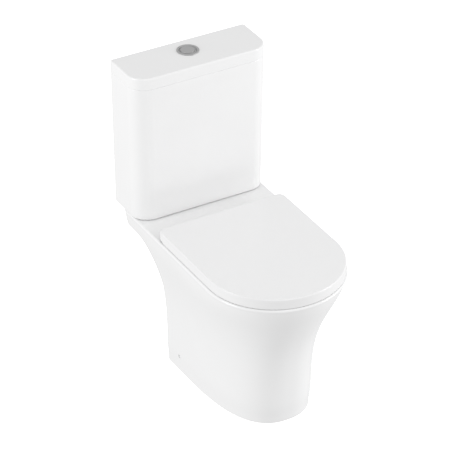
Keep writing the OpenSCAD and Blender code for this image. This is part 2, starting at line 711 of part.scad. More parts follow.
pan();
cistern();
cistern_pads();
doughnut_washer();
coupling_plate();
flush_valve_backnut();
coupling_bolts();
coupling_bolt_seals();
coupling_washers();
coupling_wing_nuts();
flush_valve_base();
flush_valve_base_seal();
flush_valve_cage();
flush_valve_cap();
overflow_tube();
flush_seal();
flush_lever();
flush_lever_pin();
fill_valve_stem();
fill_valve_seal();
fill_valve_backnut();
fill_valve_head();
fill_valve_cap();
fill_valve_outlet();
fill_valve_float();
float_rod();
fill_valve_lever();
fill_valve_lever_pin();
hinge_bases();
hinge_pins();
hinge_bolts();
hinge_washers();
hinge_nuts();
floor_brackets();
floor_screws();
side_screws();
side_caps();
cistern_lid();
button_rim();
button_nut();
full_flush_button();
full_flush_rod();
full_flush_spring();
half_flush_button();
half_flush_rod();
half_flush_spring();
seat_ring();
ring_buffers();
seat_lid();
lid_buffers();
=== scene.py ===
"""Close coupled toilet: glazed pan and cistern, wrap-over seat, dual flush button and valves.

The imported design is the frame, and every piece here is a surface worked out around it, in metres.
X runs across the pan, -Y points to the user and +Z is up. Places along the pan are given as their
distance forward of the wall behind it.
"""

import json
import math
from functools import partial

import bpy
import numpy as np
from mathutils import Matrix, Vector


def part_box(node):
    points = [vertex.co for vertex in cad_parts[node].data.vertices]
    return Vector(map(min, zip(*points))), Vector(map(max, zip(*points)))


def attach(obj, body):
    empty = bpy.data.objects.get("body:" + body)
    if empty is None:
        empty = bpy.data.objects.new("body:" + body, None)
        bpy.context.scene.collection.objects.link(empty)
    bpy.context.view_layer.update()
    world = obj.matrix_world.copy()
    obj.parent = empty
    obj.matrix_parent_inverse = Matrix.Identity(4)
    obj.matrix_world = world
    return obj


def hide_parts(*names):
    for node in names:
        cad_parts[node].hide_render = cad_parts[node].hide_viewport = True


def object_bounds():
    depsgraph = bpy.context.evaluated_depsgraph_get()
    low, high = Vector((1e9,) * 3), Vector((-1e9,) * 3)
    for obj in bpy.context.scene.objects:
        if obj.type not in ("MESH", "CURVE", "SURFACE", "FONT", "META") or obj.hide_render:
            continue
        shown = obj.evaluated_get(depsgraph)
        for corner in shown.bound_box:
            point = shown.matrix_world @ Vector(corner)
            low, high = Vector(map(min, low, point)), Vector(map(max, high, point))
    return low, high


bl_info = {
    "name": "Close Coupled Toilet",
    "version": (1, 0, 0),
    "blender": (4, 5, 0),
    "location": "3D View > Sidebar > Toilet",
    "description": "Builds the pan, cistern, seat, buttons and valves of a close coupled toilet",
    "category": "Object",
}

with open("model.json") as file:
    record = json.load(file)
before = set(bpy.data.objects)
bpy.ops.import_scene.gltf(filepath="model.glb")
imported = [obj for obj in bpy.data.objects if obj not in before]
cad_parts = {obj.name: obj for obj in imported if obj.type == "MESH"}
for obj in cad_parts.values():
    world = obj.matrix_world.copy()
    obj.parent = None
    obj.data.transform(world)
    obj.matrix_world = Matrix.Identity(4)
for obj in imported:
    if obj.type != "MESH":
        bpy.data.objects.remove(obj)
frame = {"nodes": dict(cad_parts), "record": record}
CAD_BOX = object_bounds()
NODE_SLOTS = {row["node"]: row["material_slot"] for row in frame["record"]["subparts"]}
HOME = "pan_and_cistern"


def middle(box):
    """Centre of a box given by its two corners."""
    return (box[0] + box[1]) / 2


# ---- places that come from the frame ----
WALL = CAD_BOX[1].y
PAN_LOW, PAN_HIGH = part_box("pan")
CISTERN_LOW, CISTERN_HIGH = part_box("cistern")
COVER_LOW, COVER_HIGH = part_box("cistern_lid")
RIM_LOW, RIM_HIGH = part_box("button_rim")
FULL_LOW, FULL_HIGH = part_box("full_flush_button")
HALF_LOW, HALF_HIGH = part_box("half_flush_button")
SEAT_LOW, SEAT_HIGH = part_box("seat_lid")
RING_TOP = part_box("seat_ring")[1].z
PIN = middle(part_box("hinge_pins"))
BUTTON = middle((RIM_LOW, RIM_HIGH))
RIM_Z = PAN_HIGH.z
RIM_HALF = PAN_HIGH.x
RIM_FRONT = WALL - PAN_LOW.y


# ---- settings ----
Number = bpy.props.FloatProperty
Length = partial(Number, unit="LENGTH")
Factor = partial(Number, subtype="FACTOR")
Angle = partial(Number, subtype="ANGLE")
Colour = partial(bpy.props.FloatVectorProperty, size=3, subtype="COLOR")


class ToiletSizes(bpy.types.PropertyGroup):
    """Sizes that may be changed without leaving the frame"""

    rim_edge: Length(name="Rim edge", description="Rounding of the pan's outer edge", default=0.005)
    bowl_edge: Length(
        name="Bowl edge", description="Rounding where the rim turns into the bowl", default=0.009)
    pan_wall: Length(name="Pan wall", description="Thickness of the ceramic in the pan", default=0.011)
    foot_edge: Length(name="Foot edge", description="Rounding at the bottom of the foot", default=0.002)
    cistern_corner: Length(
        name="Cistern corner", description="Radius of the cistern's front corners", default=0.048)
    cover_edge: Length(
        name="Cover edge", description="Rounding round the top of the cistern lid", default=0.0045)
    seat_edge: Length(
        name="Seat edge", description="Rounding round the top of the seat lid", default=0.0032)
    seat_crown: Length(
        name="Seat crown", description="How far the seat lid's middle stands above its edge",
        default=0.0012)
    button_bevel: Length(
        name="Button bevel", description="Width of the bevel on the button's rim", default=0.0024)


class ToiletFinish(bpy.types.PropertyGroup):
    """Colours and gloss of the finishes"""

    glaze: Colour(
        name="Glaze", description="Colour of the glazed ceramic", default=(0.86, 0.86, 0.862))
    glaze_roughness: Factor(
        name="Glaze roughness", description="Roughness of the glaze", default=0.17)
    plastic: Colour(
        name="Seat plastic", description="Colour of the seat and its lid", default=(0.83, 0.83, 0.832))
    plastic_roughness: Factor(
        name="Plastic roughness", description="Roughness of the seat plastic", default=0.24)
    chrome: Colour(
        name="Satin chrome", description="Colour of the flush button", default=(0.5, 0.5, 0.502))


class ToiletStudio(bpy.types.PropertyGroup):
    """Camera and light"""

    azimuth: Angle(
        name="Azimuth", description="Where the camera stands round the toilet",
        default=math.radians(-29.785))
    elevation: Angle(
        name="Elevation", description="How far the camera looks down", default=math.radians(32.295))
    distance: Length(
        name="Distance", description="From the camera to the middle of the toilet", default=7.0674)
    aim_right: Length(
        name="Aim right", description="How far right of the middle the camera aims", default=-0.0445)
    aim_up: Length(
        name="Aim up", description="How far above the middle the camera aims", default=0.03725)
    lens: Number(name="Lens", description="Focal length in millimetres", default=226.95)
    sky: Number(name="Sky", description="Brightness of the even light from all round", default=0.76)
    floor: Colour(name="Floor", description="Colour of the floor", default=(0.6, 0.6, 0.6))
    floor_glow: Number(
        name="Floor glow", description="Light that the floor gives off by itself", default=1.0)


# ---- outlines and profiles, as whole arrays ----
SIDE_STEPS, CORNER_STEPS, BACK_STEPS, NOSE_STEPS = 20, 10, 60, 100


def mix(a, b, t):
    """Straight blend from a to b."""
    return a + (b - a) * t


def ease(t):
    """Smooth step from 0 to 1: 3t^2 - 2t^3 of t held between 0 and 1."""
    t = np.clip(t, 0, 1)
    return t * t * (3 - 2 * t)


def power(v, p):
    """|v|^p with the sign of v."""
    return np.sign(v) * np.abs(v) ** p


def steps(count):
    """count even steps from 0 that stop one short of 1."""
    return np.arange(count) / count


def full_turn(count, shift=0.0):
    """count even angles round a circle, moved on by a share of one step."""
    return 2 * math.pi * (np.arange(count) + shift) / count


NOSE_TURN = math.pi * (1 + steps(NOSE_STEPS))


def outline(half, back, front, nose, corner, depth_power=2.0, side_power=2.0):
    """Closed outline as rows of (x, distance): straight sides from nose to the round back corners, a
    straight back, and a front where (x/half)^side_power + (d/(front-nose))^depth_power = 1."""
    side, quarter, across = steps(SIDE_STEPS), steps(CORNER_STEPS) * math.pi / 2, steps(BACK_STEPS)
    x = np.concatenate([
        np.full(SIDE_STEPS, half),
        half - corner + corner * np.cos(quarter),
        mix(half - corner, corner - half, across),
        corner - half - corner * np.sin(quarter),
        np.full(SIDE_STEPS, -half),
        half * power(np.cos(NOSE_TURN), 2 / side_power)])
    d = np.concatenate([
        mix(nose, back + corner, side),
        back + corner - corner * np.sin(quarter),
        np.full(BACK_STEPS, back),
        back + corner - corner * np.cos(quarter),
        mix(back + corner, nose, side),
        nose + (front - nose) * np.abs(np.sin(NOSE_TURN)) ** (2 / depth_power)])
    return np.stack([x, d], 1)


def oval_turn():
    """Angles that give an oval the same columns as an outline: the direction of each column of a square
    round the back half, and even steps round the front half."""
    square = outline(1.0, -1.0, 1.0, 0.0, 0.08)
    back = np.arctan2(-square[:-NOSE_STEPS, 1], square[:-NOSE_STEPS, 0])
    return np.concatenate([back, NOSE_TURN])


OVAL_TURN = oval_turn()


def oval(half, back, front, waist):
    """Closed oval as rows of (x, distance): two half ellipses that meet at waist."""
    reach = np.where(np.sin(OVAL_TURN) > 0, waist - back, front - waist)
    return np.stack([half * np.cos(OVAL_TURN), waist - reach * np.sin(OVAL_TURN)], 1)


def box_outline(half, back, front, front_corner, back_corner):
    """Closed rectangle as rows of (x, distance) with round corners, with an outline's columns. Its front
    spends a share of its columns on the straight stretch, and turns each corner with half of the rest."""
    base = outline(half, back, front, front - front_corner, back_corner)
    straight = 0.3
    along = 2 * steps(NOSE_STEPS)
    first, second = along / (1 - straight), (along - 1 - straight) / (1 - straight)
    quarters = np.where(along < 1, np.clip(first, 0, 1), 1 + np.clip(second, 0, 1))
    angle = math.pi + quarters * math.pi / 2
    run = np.clip((along - 1) / straight, -1, 1)
    x = run * (half - front_corner) + front_corner * np.cos(angle)
    d = front - front_corner - front_corner * np.sin(angle)
    base[-NOSE_STEPS:] = np.stack([x, d], 1)
    return base


def place(flat, z):
    """Rows of (x, distance) at height z as points of the frame. z is a number, or one for each row."""
    return np.stack([flat[:, 0], WALL - flat[:, 1], np.broadcast_to(z, flat[:, 0].shape)], 1)


def circle(radius, x, y, z, count):
    """Points round a circle, anticlockwise from above."""
    turn = full_turn(count)
    return np.stack([x + radius * np.cos(turn), y + radius * np.sin(turn), np.full(count, z)], 1)


def wall_circle(radius, x, y, z, count):
    """Points round a circle that stands parallel to the wall, anticlockwise from in front."""
    turn = full_turn(count)
    return np.stack([x + radius * np.cos(turn), np.full(count, y), z + radius * np.sin(turn)], 1)


def quarter(start, end, count, first_along="out"):
    """Round step from the (offset, height) pair start to end: a quarter ellipse that leaves start level
    when first_along is "out", and upright when it is "up"."""
    a = np.linspace(0, math.pi / 2, count)
    grow = (np.sin(a), 1 - np.cos(a)) if first_along == "out" else (1 - np.cos(a), np.sin(a))
    return np.stack([mix(start[0], end[0], grow[0]), mix(start[1], end[1], grow[1])], 1)


def hoops(path, columns):
    """Unit circles that stand square to a path in the plane x = 0, one for each of its points."""
    along = np.gradient(path, axis=0)
    along /= np.linalg.norm(along, axis=1)[:, None]
    side = np.array([1.0, 0.0, 0.0])
    up = np.cross(along, side)
    turn = full_turn(columns)
    return np.cos(turn)[None, :, None] * side + np.sin(turn)[None, :, None] * up[:, None, :]


# ---- meshes ----
SHARP = 35.0


def smooth(mesh, sharp=SHARP):
    """Shades a mesh smooth, with edges that bend by more than sharp degrees kept crisp."""
    mesh.shade_smooth()
    mesh.set_sharp_from_angle(angle=math.radians(sharp))


def grid_faces(rows, columns, loop):
    """Quads between neighbouring closed rows of a grid, and from its last row to its first for a loop."""
    r = np.arange(rows if loop else rows - 1)[:, None]
    c = np.arange(columns)[None, :]
    here, below, beside = r * columns, (r + 1) % rows * columns, (c + 1) % columns
    return np.stack([here + c, below + c, below + beside, here + beside], -1).reshape(-1, 4)


class Shell:
    """Points and faces of one piece, put together from closed surfaces."""

    def __init__(self):
        self.points, self.faces, self.count = [], [], 0

    def add(self, points, faces):
        """Adds a surface, given its points and its faces by their places in it."""
        self.points.append(np.asarray(points, float).reshape(-1, 3))
        self.faces += [tuple(int(i) + self.count for i in face) for face in faces]
        self.count += len(self.points[-1])
        return self

    def rings(self, rings, loop=False):
        """Surface through closed rings of equal length. It ends in a fan to each end ring's middle, or
        runs back into its first ring when loop is set. Rings run outwards over the top and then down."""
        rings = np.asarray(rings, float)
        rows, columns = rings.shape[:2]
        faces = list(grid_faces(rows, columns, loop))
        points = rings.reshape(-1, 3)
        if not loop:
            top, bottom = len(points), len(points) + 1
            points = np.vstack([points, rings[0].mean(0), rings[-1].mean(0)])
            c = np.arange(columns)
            following = (c + 1) % columns
            last = (rows - 1) * columns
            faces += list(np.stack([np.full(columns, top), c, following], 1))
            faces += list(np.stack([last + c, np.full(columns, bottom), last + following], 1))
        return self.add(points, faces)

    def lathe(self, profile, x, y, columns=96, loop=False):
        """Profile of (radius, height) turned about the upright line through x, y."""
        return self.rings([circle(radius, x, y, z, columns) for radius, z in profile], loop)

    def barrel(self, radius, low, high, y, z, edge=0.0012, columns=48):
        """Round bar along X from low to high with rounded ends."""
        a = np.linspace(0, math.pi / 2, 5)
        radii = np.concatenate([radius - edge + edge * np.sin(a), radius - edge + edge * np.cos(a)])
        across = np.concatenate([low + edge - edge * np.cos(a), high - edge + edge * np.sin(a)])
        turn = full_turn(columns)
        rings = [np.stack([np.full(columns, x), y + r * np.sin(turn), z + r * np.cos(turn)], 1)
                 for r, x in zip(radii, across)]
        return self.rings(rings)

    def block(self, low, high, edge=0.001, columns=32):
        """Box between two corners with rounded edges: superellipse rings that shrink at both ends."""
        low, high = np.array(low, float), np.array(high, float)
        centre, half = (low + high) / 2, (high - low) / 2
        turn = full_turn(columns, 0.5)
        ring = np.stack([power(np.cos(turn), 0.16), power(np.sin(turn), 0.16)], 1)
        a = np.linspace(0, math.pi / 2, 4)
        inset = np.concatenate([edge * (1 - np.sin(a)), edge * (1 - np.cos(a))])
        height = np.concatenate([high[2] - edge * (1 - np.cos(a)), low[2] + edge * (1 - np.sin(a))])
        rings = [np.column_stack([centre[:2] + ring * (half[:2] - i), np.full(columns, z)])
                 for i, z in zip(inset, height)]
        return self.rings(rings)

    def tube(self, path, outer, inner, columns=48):
        """Pipe wall carried along a path in the plane x = 0: rings stand square to the path, first along
        the bore and then back along the outside."""
        ring = hoops(path, columns)
        bore, skin = path[:, None] + inner * ring, path[:, None] + outer * ring
        return self.rings(np.concatenate([bore[::-1], skin]), loop=True)

    def make(self, name, body, slot, replaces, sharp=SHARP):
        """Turns the surfaces into one object that rides on a body and stands for CAD nodes."""
        mesh = bpy.data.meshes.new(name)
        mesh.from_pydata(np.vstack(self.points), [], self.faces)
        mesh.validate()
        mesh.update()
        smooth(mesh, sharp)
        piece = bpy.data.objects.new(name, mesh)
        bpy.context.scene.collection.objects.link(piece)
        mesh.materials.append(finish(slot))
        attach(piece, body)
        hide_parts(*replaces)
        return piece


def carve(piece, *cutters):
    """Takes closed cutter meshes out of a piece, and keeps the result as its mesh."""
    for number, cutter in enumerate(cutters):
        mesh = bpy.data.meshes.new(f"cutter_{number}")
        mesh.from_pydata(np.vstack(cutter.points), [], cutter.faces)
        tool = bpy.data.objects.new(mesh.name, mesh)
        bpy.context.scene.collection.objects.link(tool)
        cut = piece.modifiers.new("cut", "BOOLEAN")
        cut.operation, cut.solver, cut.object = "DIFFERENCE", "EXACT", tool
        graph = bpy.context.evaluated_depsgraph_get()
        result = bpy.data.meshes.new_from_object(piece.evaluated_get(graph))
        piece.modifiers.remove(cut)
        old, name = piece.data, piece.data.name
        piece.data = result
        bpy.data.meshes.remove(old)
        result.name = name
        bpy.data.objects.remove(tool)
        bpy.data.meshes.remove(mesh)
    smooth(piece.data)


# ---- finishes ----
class Shade:
    """Wraps an output socket, so that shader maths reads as a Python expression."""

    def __init__(self, recipe, socket):
        self.recipe, self.socket = recipe, socket

    def math(self, operation, first, second):
        """Adds a Math node on two values."""
        return self.recipe.node("ShaderNodeMath", {"operation": operation}, {0: first, 1: second})

    def __add__(self, other):
        return self.math("ADD", self, other)

    def __sub__(self, other):
        return self.math("SUBTRACT", self, other)

    def __rsub__(self, other):
        return self.math("SUBTRACT", other, self)

    def __mul__(self, other):
        return self.math("MULTIPLY", self, other)

    __radd__ = __add__

    def rise(self, low, high):
        """0 below low, 1 above high, and smooth between them."""
        return self.recipe.node("ShaderNodeMapRange", {"interpolation_type": "SMOOTHSTEP"},
                                {"Value": self, "From Min": low, "From Max": high})


class Recipe:
    """Nodes of one material: its Principled shader, and what varies over the surface."""

    def __init__(self, name):
        self.material = bpy.data.materials.new(name)
        self.material.use_nodes = True
        self.tree = self.material.node_tree
        self.shader = self.tree.nodes["Principled BSDF"]
        self.place = self.node("ShaderNodeTexCoord", {}, {}, "Object")

    def node(self, kind, settings, sockets, output=0):
        """Adds a node: its settings, then the values or links of its sockets. Gives one output."""
        made = self.tree.nodes.new(kind)
        for key, value in settings.items():
            setattr(made, key, value)
        for key, value in sockets.items():
            self.link(value, made.inputs[key])
        return Shade(self, made.outputs[output])

    def noise(self, scale, detail=2.0, roughness=0.5):
        """Even noise from 0 to 1, with scale cells a metre."""
        return self.node("ShaderNodeTexNoise", {}, {
            "Vector": self.place, "Scale": scale, "Detail": detail, "Roughness": roughness}, "Fac")

    def part(self, axis):
        """One coordinate of the surface, in metres."""
        return self.node("ShaderNodeSeparateXYZ", {}, {0: self.place}, axis)

    def blend(self, factor, first, second):
        """Colour between first and second."""
        return self.node("ShaderNodeMix", {"data_type": "RGBA"}, {0: factor, 6: first, 7: second}, 2)

    def link(self, value, socket):
        """Links a Shade, or sets a number, vector or colour."""
        if isinstance(value, Shade):
            self.tree.links.new(value.socket, socket)
        elif socket.type == "RGBA":
            socket.default_value = (*value, 1.0)
        else:
            socket.default_value = value

    def set(self, **sockets):
        """Sets or links sockets of the shader, with spaces written as underscores."""
        for key, value in sockets.items():
            self.link(value, self.shader.inputs[key.replace("_", " ")])

    def bump(self, height, distance, strength):
        """Surface relief: height from 0 to 1, over a distance in metres."""
        self.set(Normal=self.node("ShaderNodeBump", {}, {
            "Height": height, "Distance": distance, "Strength": strength}, "Normal"))


def tint(colour, factor):
    """A colour made lighter or darker by a factor."""
    return tuple(min(1.0, c * factor) for c in colour)


def glaze(recipe, settings):
    """White glaze: soft pooling in its tone, faint waviness, and bare clay under the foot."""
    pool = recipe.noise(9.0, 3.0)
    grain = recipe.noise(900.0, 1.0)
    bare = 1 - recipe.part("Z").rise(0.0004, 0.0016)
    white = recipe.blend(pool, tint(settings.glaze, 0.985), tint(settings.glaze, 1.015))
    recipe.set(Base_Color=recipe.blend(bare, white, (0.62, 0.58, 0.50)),
               Roughness=settings.glaze_roughness - 0.02 + pool * 0.04 + grain * 0.01 + bare * 0.5,
               IOR=1.52)
    recipe.bump(recipe.noise(38.0, 2.0) + recipe.noise(6.0, 1.0) * 2.0, 0.00025, 0.35)


def seat_plastic(recipe, settings):
    """Gloss moulded plastic: even white with a faint orange peel and fine scuffs."""
    peel = recipe.noise(420.0, 2.0)
    scuff = recipe.noise(24.0, 5.0, roughness=0.7)
    recipe.set(Base_Color=recipe.blend(scuff, tint(settings.plastic, 0.99), tint(settings.plastic, 1.01)),
               Roughness=settings.plastic_roughness - 0.03 + scuff * 0.06 + peel * 0.01, IOR=1.49)
    recipe.bump(peel + recipe.noise(70.0, 1.0), 0.00004, 0.3)


def satin_chrome(recipe, settings):
    """Satin chrome: rings of fine turning marks about the button's middle, over a soft cloudiness."""
    centred = recipe.node("ShaderNodeVectorMath", {"operation": "SUBTRACT"},
                          {0: recipe.place, 1: (BUTTON.x, BUTTON.y, 0.0)}, "Vector")
    flat = recipe.node("ShaderNodeVectorMath", {"operation": "MULTIPLY"}, {0: centred, 1: (1.0, 1.0, 0.0)},
                       "Vector")
    radius = recipe.node("ShaderNodeVectorMath", {"operation": "LENGTH"}, {0: flat}, "Value")
    turned = recipe.node("ShaderNodeTexNoise", {"noise_dimensions": "1D"},
                         {"W": radius, "Scale": 5200.0, "Detail": 3.0}, "Fac")
    cloud = recipe.noise(160.0, 3.0)
    recipe.set(Base_Color=recipe.blend(turned, tint(settings.chrome, 0.9), tint(settings.chrome, 1.1)),
               Metallic=1.0, Roughness=turned * 0.10 + cloud * 0.08 + 0.42)
    recipe.bump(turned, 0.00002, 0.5)


def steel(recipe, settings):
    """Bright zinc: soft spangle with drawn marks."""
    spangle = recipe.noise(260.0, 4.0, roughness=0.6)
    recipe.set(Base_Color=recipe.blend(spangle, (0.46, 0.47, 0.49), (0.66, 0.66, 0.66)), Metallic=1.0,
               Roughness=spangle * 0.22 + 0.24)
    recipe.bump(spangle, 0.00005, 0.3)


def moulded(colour, rough):
    """Moulded valve plastic of one colour: fine grain, and a little uneven gloss."""

    def nodes(recipe, settings):
        grain = recipe.noise(1500.0, 2.0)
        flow = recipe.noise(30.0, 3.0)
        recipe.set(Base_Color=recipe.blend(flow, tint(colour, 0.94), tint(colour, 1.05)),
                   Roughness=flow * 0.08 + grain * 0.05 + rough)
        recipe.bump(grain, 0.00004, 0.4)

    return nodes


def rubber(colour, rough):
    """Rubber of one colour: matt, with a pale bloom and a fine pitted skin."""

    def nodes(recipe, settings):
        pits = recipe.noise(1100.0, 3.0)
        bloom = recipe.noise(55.0, 4.0).rise(0.45, 0.8)
        recipe.set(Base_Color=recipe.blend(bloom, colour, tint(colour, 1.35)), Roughness=pits * 0.1 + rough)
        recipe.bump(pits, 0.00006, 0.5)

    return nodes


RECIPES = {
    "glaze": glaze,
    "seat_plastic": seat_plastic,
    "satin_chrome": satin_chrome,
    "steel": steel,
    "valve_white": moulded((0.78, 0.79, 0.80), 0.38),
    "valve_blue": moulded((0.06, 0.19, 0.42), 0.36),
    "black_rubber": rubber((0.022, 0.022, 0.023), 0.66),
    "clear_rubber": rubber((0.52, 0.54, 0.54), 0.4),
}


def finish(slot):
    """The material for a slot of the record, made the first time that it is asked for."""
    name = f"{slot}_finish"
    if name not in bpy.data.materials:
        RECIPES[slot](Recipe(name), bpy.context.scene.toilet_finish)
    return bpy.data.materials[name]


# ---- pan ----
FOOT_HALF, FOOT_FRONT, FOOT_BACK = 0.1315, 0.5590, 0.168
RIM_NOSE, SHELF_BACK = 0.480, 0.040
FOOT_POWERS, RIM_POWERS = (3.6, 2.44), (2.0, 2.0)
SHELF_BOTTOM, SWEEP_LOW, SWEEP_RUN, SWEEP_RISE = 0.358, 0.233, 4.23, 1.162
BACK_CORNER = 0.014
BOWL_HALF, BOWL_BACK, BOWL_FRONT, BOWL_TOP = 0.123, 0.290, 0.616, 0.366
BOWL_WAIST = 0.45
SUMP_HALF, SUMP_BACK, SUMP_FRONT, SUMP_BOTTOM = 0.046, 0.352, 0.452, 0.118
OUTLET_Z, SPIGOT_RADIUS, OUTLET_BORE = 0.180, 0.051, 0.042
SPIGOT_START, SPIGOT_END = 0.028, 0.098
TRAP_START, WEIR_BACK, WEIR_RISE, WEIR_SPREAD, TRAP_DIP = 0.372, 0.262, 0.052, 0.052, 0.030
DOOR_HALF, DOOR_LOW, DOOR_TOP, DOOR_POWER = 0.100, -0.02, 0.300, 0.35
INLET_RADIUS, SUPPLY_RADIUS, SUPPLY_X, SUPPLY_BACK = 0.033, 0.024, 0.140, 0.068
COUPLING_HALF, COUPLING_RADIUS = 0.075, 0.006
SIDE_HOLE_RADIUS = 0.005
SIDE_HOLE_BACK, SIDE_HOLE_Z = 0.240, 0.047
PLUG_DEPTH, PLUG_DOME, PLUG_LENGTH = 0.0018, 0.0016, 0.007


def flare(z):
    """How far the pan has opened out at height z, from 0 at the foot to about 1 at the rim: a lean over
    the first few centimetres, a straight creep, and a swell, the square of the sine of a quarter turn
    that runs as ((z - start)/run)^late."""
    lean, lean_run, creep, whole = 0.049, 0.06, 0.0586, 0.982
    start, run, late = 0.012, 0.413, 1.92
    s = np.clip((z - start) / run, 0, 1) ** late
    swell = (1 - lean - creep) * np.sin(s * math.pi / 2) ** 2
    return (lean * ease(z / lean_run) + creep * z / RIM_Z + swell) / whole


def pan_ring(z, back, inset=0.0, drop=None):
    """Outline of the pan at height z, moved in by inset. drop is the height to place it at instead."""
    f = flare(z)
    depth_power, side_power = (mix(a, b, f) for a, b in zip(FOOT_POWERS, RIM_POWERS))
    flat = outline(mix(FOOT_HALF, RIM_HALF, f) - inset, back + inset, mix(FOOT_FRONT, RIM_FRONT, f) - inset,
                   mix(FOOT_BACK + 0.02, RIM_NOSE, f), BACK_CORNER, depth_power, side_power)
    return place(flat, z if drop is None else drop)


def sweep(count):
    """Height and back of the pan from under its shelf down to its foot, one quarter of a superellipse:
    (reach/run)^SWEEP_RUN + (height/rise)^SWEEP_RISE = 1."""
    a = np.linspace(math.pi / 2, 0, count)
    back = SHELF_BACK + (FOOT_BACK - SHELF_BACK) * np.cos(a) ** (2 / SWEEP_RUN)
    return zip(SWEEP_LOW + (SHELF_BOTTOM - SWEEP_LOW) * np.sin(a) ** (2 / SWEEP_RISE), back)


def bowl_ring(u, grow=0.0):
    """Ring of the bowl from its neck (u = 0) to the bottom of the sump (u = 1): the quarter cosine
    carries its width and ends from one to the other."""
    c = math.cos(u * math.pi / 2) ** 0.85
    back, front = mix(SUMP_BACK, BOWL_BACK, c) - grow, mix(SUMP_FRONT, BOWL_FRONT, c) + grow
    z = mix(BOWL_TOP, SUMP_BOTTOM, u ** 1.1) - grow * u ** 3
    return place(oval(mix(SUMP_HALF, BOWL_HALF, c) + grow, back, front, mix(back, front, BOWL_WAIST)), z)


def neck_ring(z, grow=0.0):
    """Ring of the bowl's upright neck, moved out by grow."""
    back, front = BOWL_BACK - grow, BOWL_FRONT + grow
    return place(oval(BOWL_HALF + grow, back, front, mix(back, front, BOWL_WAIST)), z)


def trap_path(count=60):
    """Middle line of the trapway: out of the sump's back, up over the weir, down, and level to the wall.
    Its height is the outlet's, plus a bell curve about the weir, less a smooth step down to the sump."""
    d = np.linspace(TRAP_START, SPIGOT_START, count)
    weir = WEIR_RISE * np.exp(-(((d - WEIR_BACK) / WEIR_SPREAD) ** 2))
    dip = TRAP_DIP * ease((d - WEIR_BACK - 0.028) / 0.07)
    return np.stack([np.zeros(count), WALL - d, OUTLET_Z + weir - dip], 1)


class TOILET_OT_pan(bpy.types.Operator):
    """Builds the pan: bowl, rim, shelf, skirt and the hollow behind it"""

    bl_idname = "toilet.pan"
    bl_label = "Pan"

    def execute(self, context):
        sizes = context.scene.toilet_sizes
        wall, edge, lip, toe = sizes.pan_wall, sizes.rim_edge, sizes.bowl_edge, sizes.foot_edge
        ceiling = RIM_Z - 0.022
        sag = np.linspace(0, 1, 15) ** 0.8
        rings = [bowl_ring(u) for u in np.linspace(0.985, 0, 34)]
        rings += [neck_ring(z) for z in np.linspace(BOWL_TOP, RIM_Z - lip, 5)[1:]]
        rings += [neck_ring(z, grow) for grow, z in quarter((0, RIM_Z - lip), (lip, RIM_Z), 8, "up")[1:]]
        rings += [mix(neck_ring(RIM_Z, lip), pan_ring(RIM_Z, SHELF_BACK, edge + 0.0004), s) for s in sag[1:]]
        rings += [pan_ring(RIM_Z, SHELF_BACK, edge - out, drop) for out, drop in
                  quarter((0, RIM_Z), (edge, RIM_Z - edge), 8)]
        rings += [pan_ring(z, SHELF_BACK) for z in np.linspace(RIM_Z - edge, SHELF_BOTTOM + 0.001, 10)[1:]]
        rings += [pan_ring(z, back) for z, back in sweep(40)]
        rings += [pan_ring(z, FOOT_BACK) for z in np.linspace(SWEEP_LOW, toe, 26)[1:]]
        rings += [pan_ring(0, FOOT_BACK, inset, toe - down) for down, inset in
                  quarter((0, 0), (toe, toe), 5, "out")[1:]]
        rings += [pan_ring(z, FOOT_BACK, wall) for z in np.linspace(0, ceiling, 30)]
        rings += [neck_ring(ceiling, wall)]
        rings += [bowl_ring(u, wall) for u in np.linspace(0, 0.97, 20)]
        pan = Shell().rings(rings).make("toilet_pan", HOME, "glaze", ["pan"])
        carve(pan, *pan_cutters())
        return {"FINISHED"}


def pan_cutters():
    """What is cut out of the pan: the open back, the throat to the trap, the flush inlet and the holes."""
    middle_z, rise = mix(DOOR_LOW, DOOR_TOP, 0.5), (DOOR_TOP - DOOR_LOW) / 2
    turn = full_turn(64, 0.5)
    rings = []
    for out, depth in ((0.007, -0.030), (0.0035, 0.0), (0.001, 0.0035), (0.0, 0.008), (0.0, 0.017)):
        rings.append(np.stack([(DOOR_HALF + out) * power(np.cos(turn), DOOR_POWER),
                               np.full(64, WALL - FOOT_BACK - depth),
                               middle_z + (rise + out) * power(np.sin(turn), DOOR_POWER)], 1))
    back = Shell().rings(rings[::-1])
    path = trap_path(30)[:12]
    throat = Shell().rings((path[:, None] + (OUTLET_BORE - 0.004) * hoops(path, 48))[::-1])
    holes, above, below = Shell(), RIM_Z + 0.01, SHELF_BOTTOM - 0.02
    holes.lathe([(INLET_RADIUS, above), (INLET_RADIUS, RIM_Z - 0.032)], 0, BUTTON.y, 64)
    holes.lathe([(SUPPLY_RADIUS, above), (SUPPLY_RADIUS, below)], SUPPLY_X, WALL - SUPPLY_BACK, 48)
    for side in (-1, 1):
        x, skin = side * COUPLING_HALF, side * FOOT_HALF
        holes.lathe([(COUPLING_RADIUS, above), (COUPLING_RADIUS, below)], x, BUTTON.y, 32)
        holes.barrel(SIDE_HOLE_RADIUS, skin - 0.03, skin + 0.03, WALL - SIDE_HOLE_BACK, SIDE_HOLE_Z,
                     edge=0.0002, columns=32)
    return back, throat, holes


